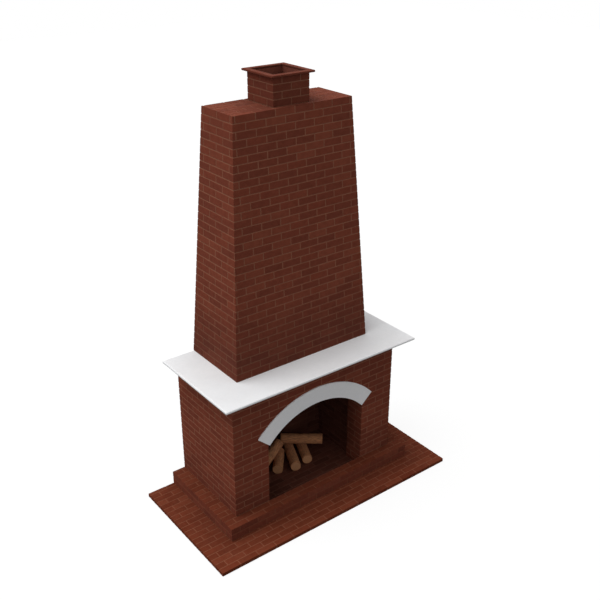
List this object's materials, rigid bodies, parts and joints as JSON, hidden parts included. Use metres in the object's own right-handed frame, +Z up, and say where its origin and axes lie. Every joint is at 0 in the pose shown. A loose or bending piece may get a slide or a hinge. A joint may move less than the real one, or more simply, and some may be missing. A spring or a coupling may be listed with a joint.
{
  "type": "wood-burning fireplace",
  "caption": "Brick wood-burning fireplace with hearth, stone arch and mantel, tapered chimney breast and square stack; a throat damper swings open on a pull bar.",
  "frame": {"origin": "on the ground, under the middle of the hearth slab, at the middle of the base of the bounding box", "axes": "+Z up along the chimney; -Y towards the front, where the fire opening is; +X to the right of someone who faces the opening"},
  "size_m": [2.786, 1.386, 4.132],
  "materials": {
    "wall_brick": "dark red-brown brick with thin brown mortar joints, matt",
    "hearth_brick": "red-brown brick laid flat, a little lighter than the walls, matt",
    "pale_stone": "pale grey-white cut stone, honed",
    "firebrick": "sooted firebrick, matt",
    "rough_brick": "rough brick and parging out of sight, matt",
    "flue_clay": "fired clay flue tile, matt",
    "cast_iron": "black cast iron, as cast",
    "firewood": "split firewood in the round, dry brown bark and pale ends"
  },
  "bodies": {
    "masonry": {"hearth_slab": "hearth_brick", "plinth_front": "hearth_brick", "plinth_back": "wall_brick", "plinth_left": "hearth_brick", "plinth_right": "hearth_brick", "plinth_jamb_left": "wall_brick", "plinth_jamb_right": "wall_brick", "front_pier_left": "wall_brick", "front_pier_right": "wall_brick", "front_spandrel": "wall_brick", "stone_arch": "pale_stone", "relieving_arch": "rough_brick", "side_wall_left": "wall_brick", "side_wall_right": "wall_brick", "back_wall": "wall_brick", "lining_left": "firebrick", "lining_right": "firebrick", "backing_left": "rough_brick", "backing_right": "rough_brick", "firebox_floor": "firebrick", "fireback": "firebrick", "fireback_slope": "firebrick", "smoke_shelf": "rough_brick", "damper_frame": "cast_iron", "damper_pin": "cast_iron", "smoke_chamber_front": "rough_brick", "smoke_chamber_back": "rough_brick", "smoke_chamber_left": "rough_brick", "smoke_chamber_right": "rough_brick", "smoke_hood_front": "rough_brick", "smoke_hood_back": "rough_brick", "smoke_hood_left": "rough_brick", "smoke_hood_right": "rough_brick", "mantel_slab": "pale_stone", "breast_front": "wall_brick", "breast_back": "wall_brick", "breast_left": "wall_brick", "breast_right": "wall_brick", "breast_cap": "wall_brick", "flue_tile_1": "flue_clay", "flue_tile_2": "flue_clay", "flue_tile_3": "flue_clay", "flue_stack": "wall_brick", "flue_collar": "wall_brick", "log_1": "firewood", "log_2": "firewood", "log_3": "firewood", "log_4": "firewood", "log_5": "firewood"},
    "damper": {"damper_flap": "cast_iron", "pull_pin": "cast_iron"},
    "pull": {"damper_pull": "cast_iron"}
  },
  "joints": [
    {"name": "damper_hinge", "type": "hinge", "parent": "masonry", "child": "damper", "pos_m": [0, 0.114, 1.287], "axis": [-1, 0, 0], "range_deg": [0, 80]},
    {"name": "pull_hinge", "type": "hinge", "parent": "damper", "child": "pull", "pos_m": [0, -0.01, 1.258], "axis": [-1, 0, 0], "range_deg": [-80, 0]}
  ],
  "couplings": [
    {"joint": "pull_hinge", "follows": "damper_hinge", "ratio": -1}
  ]
}
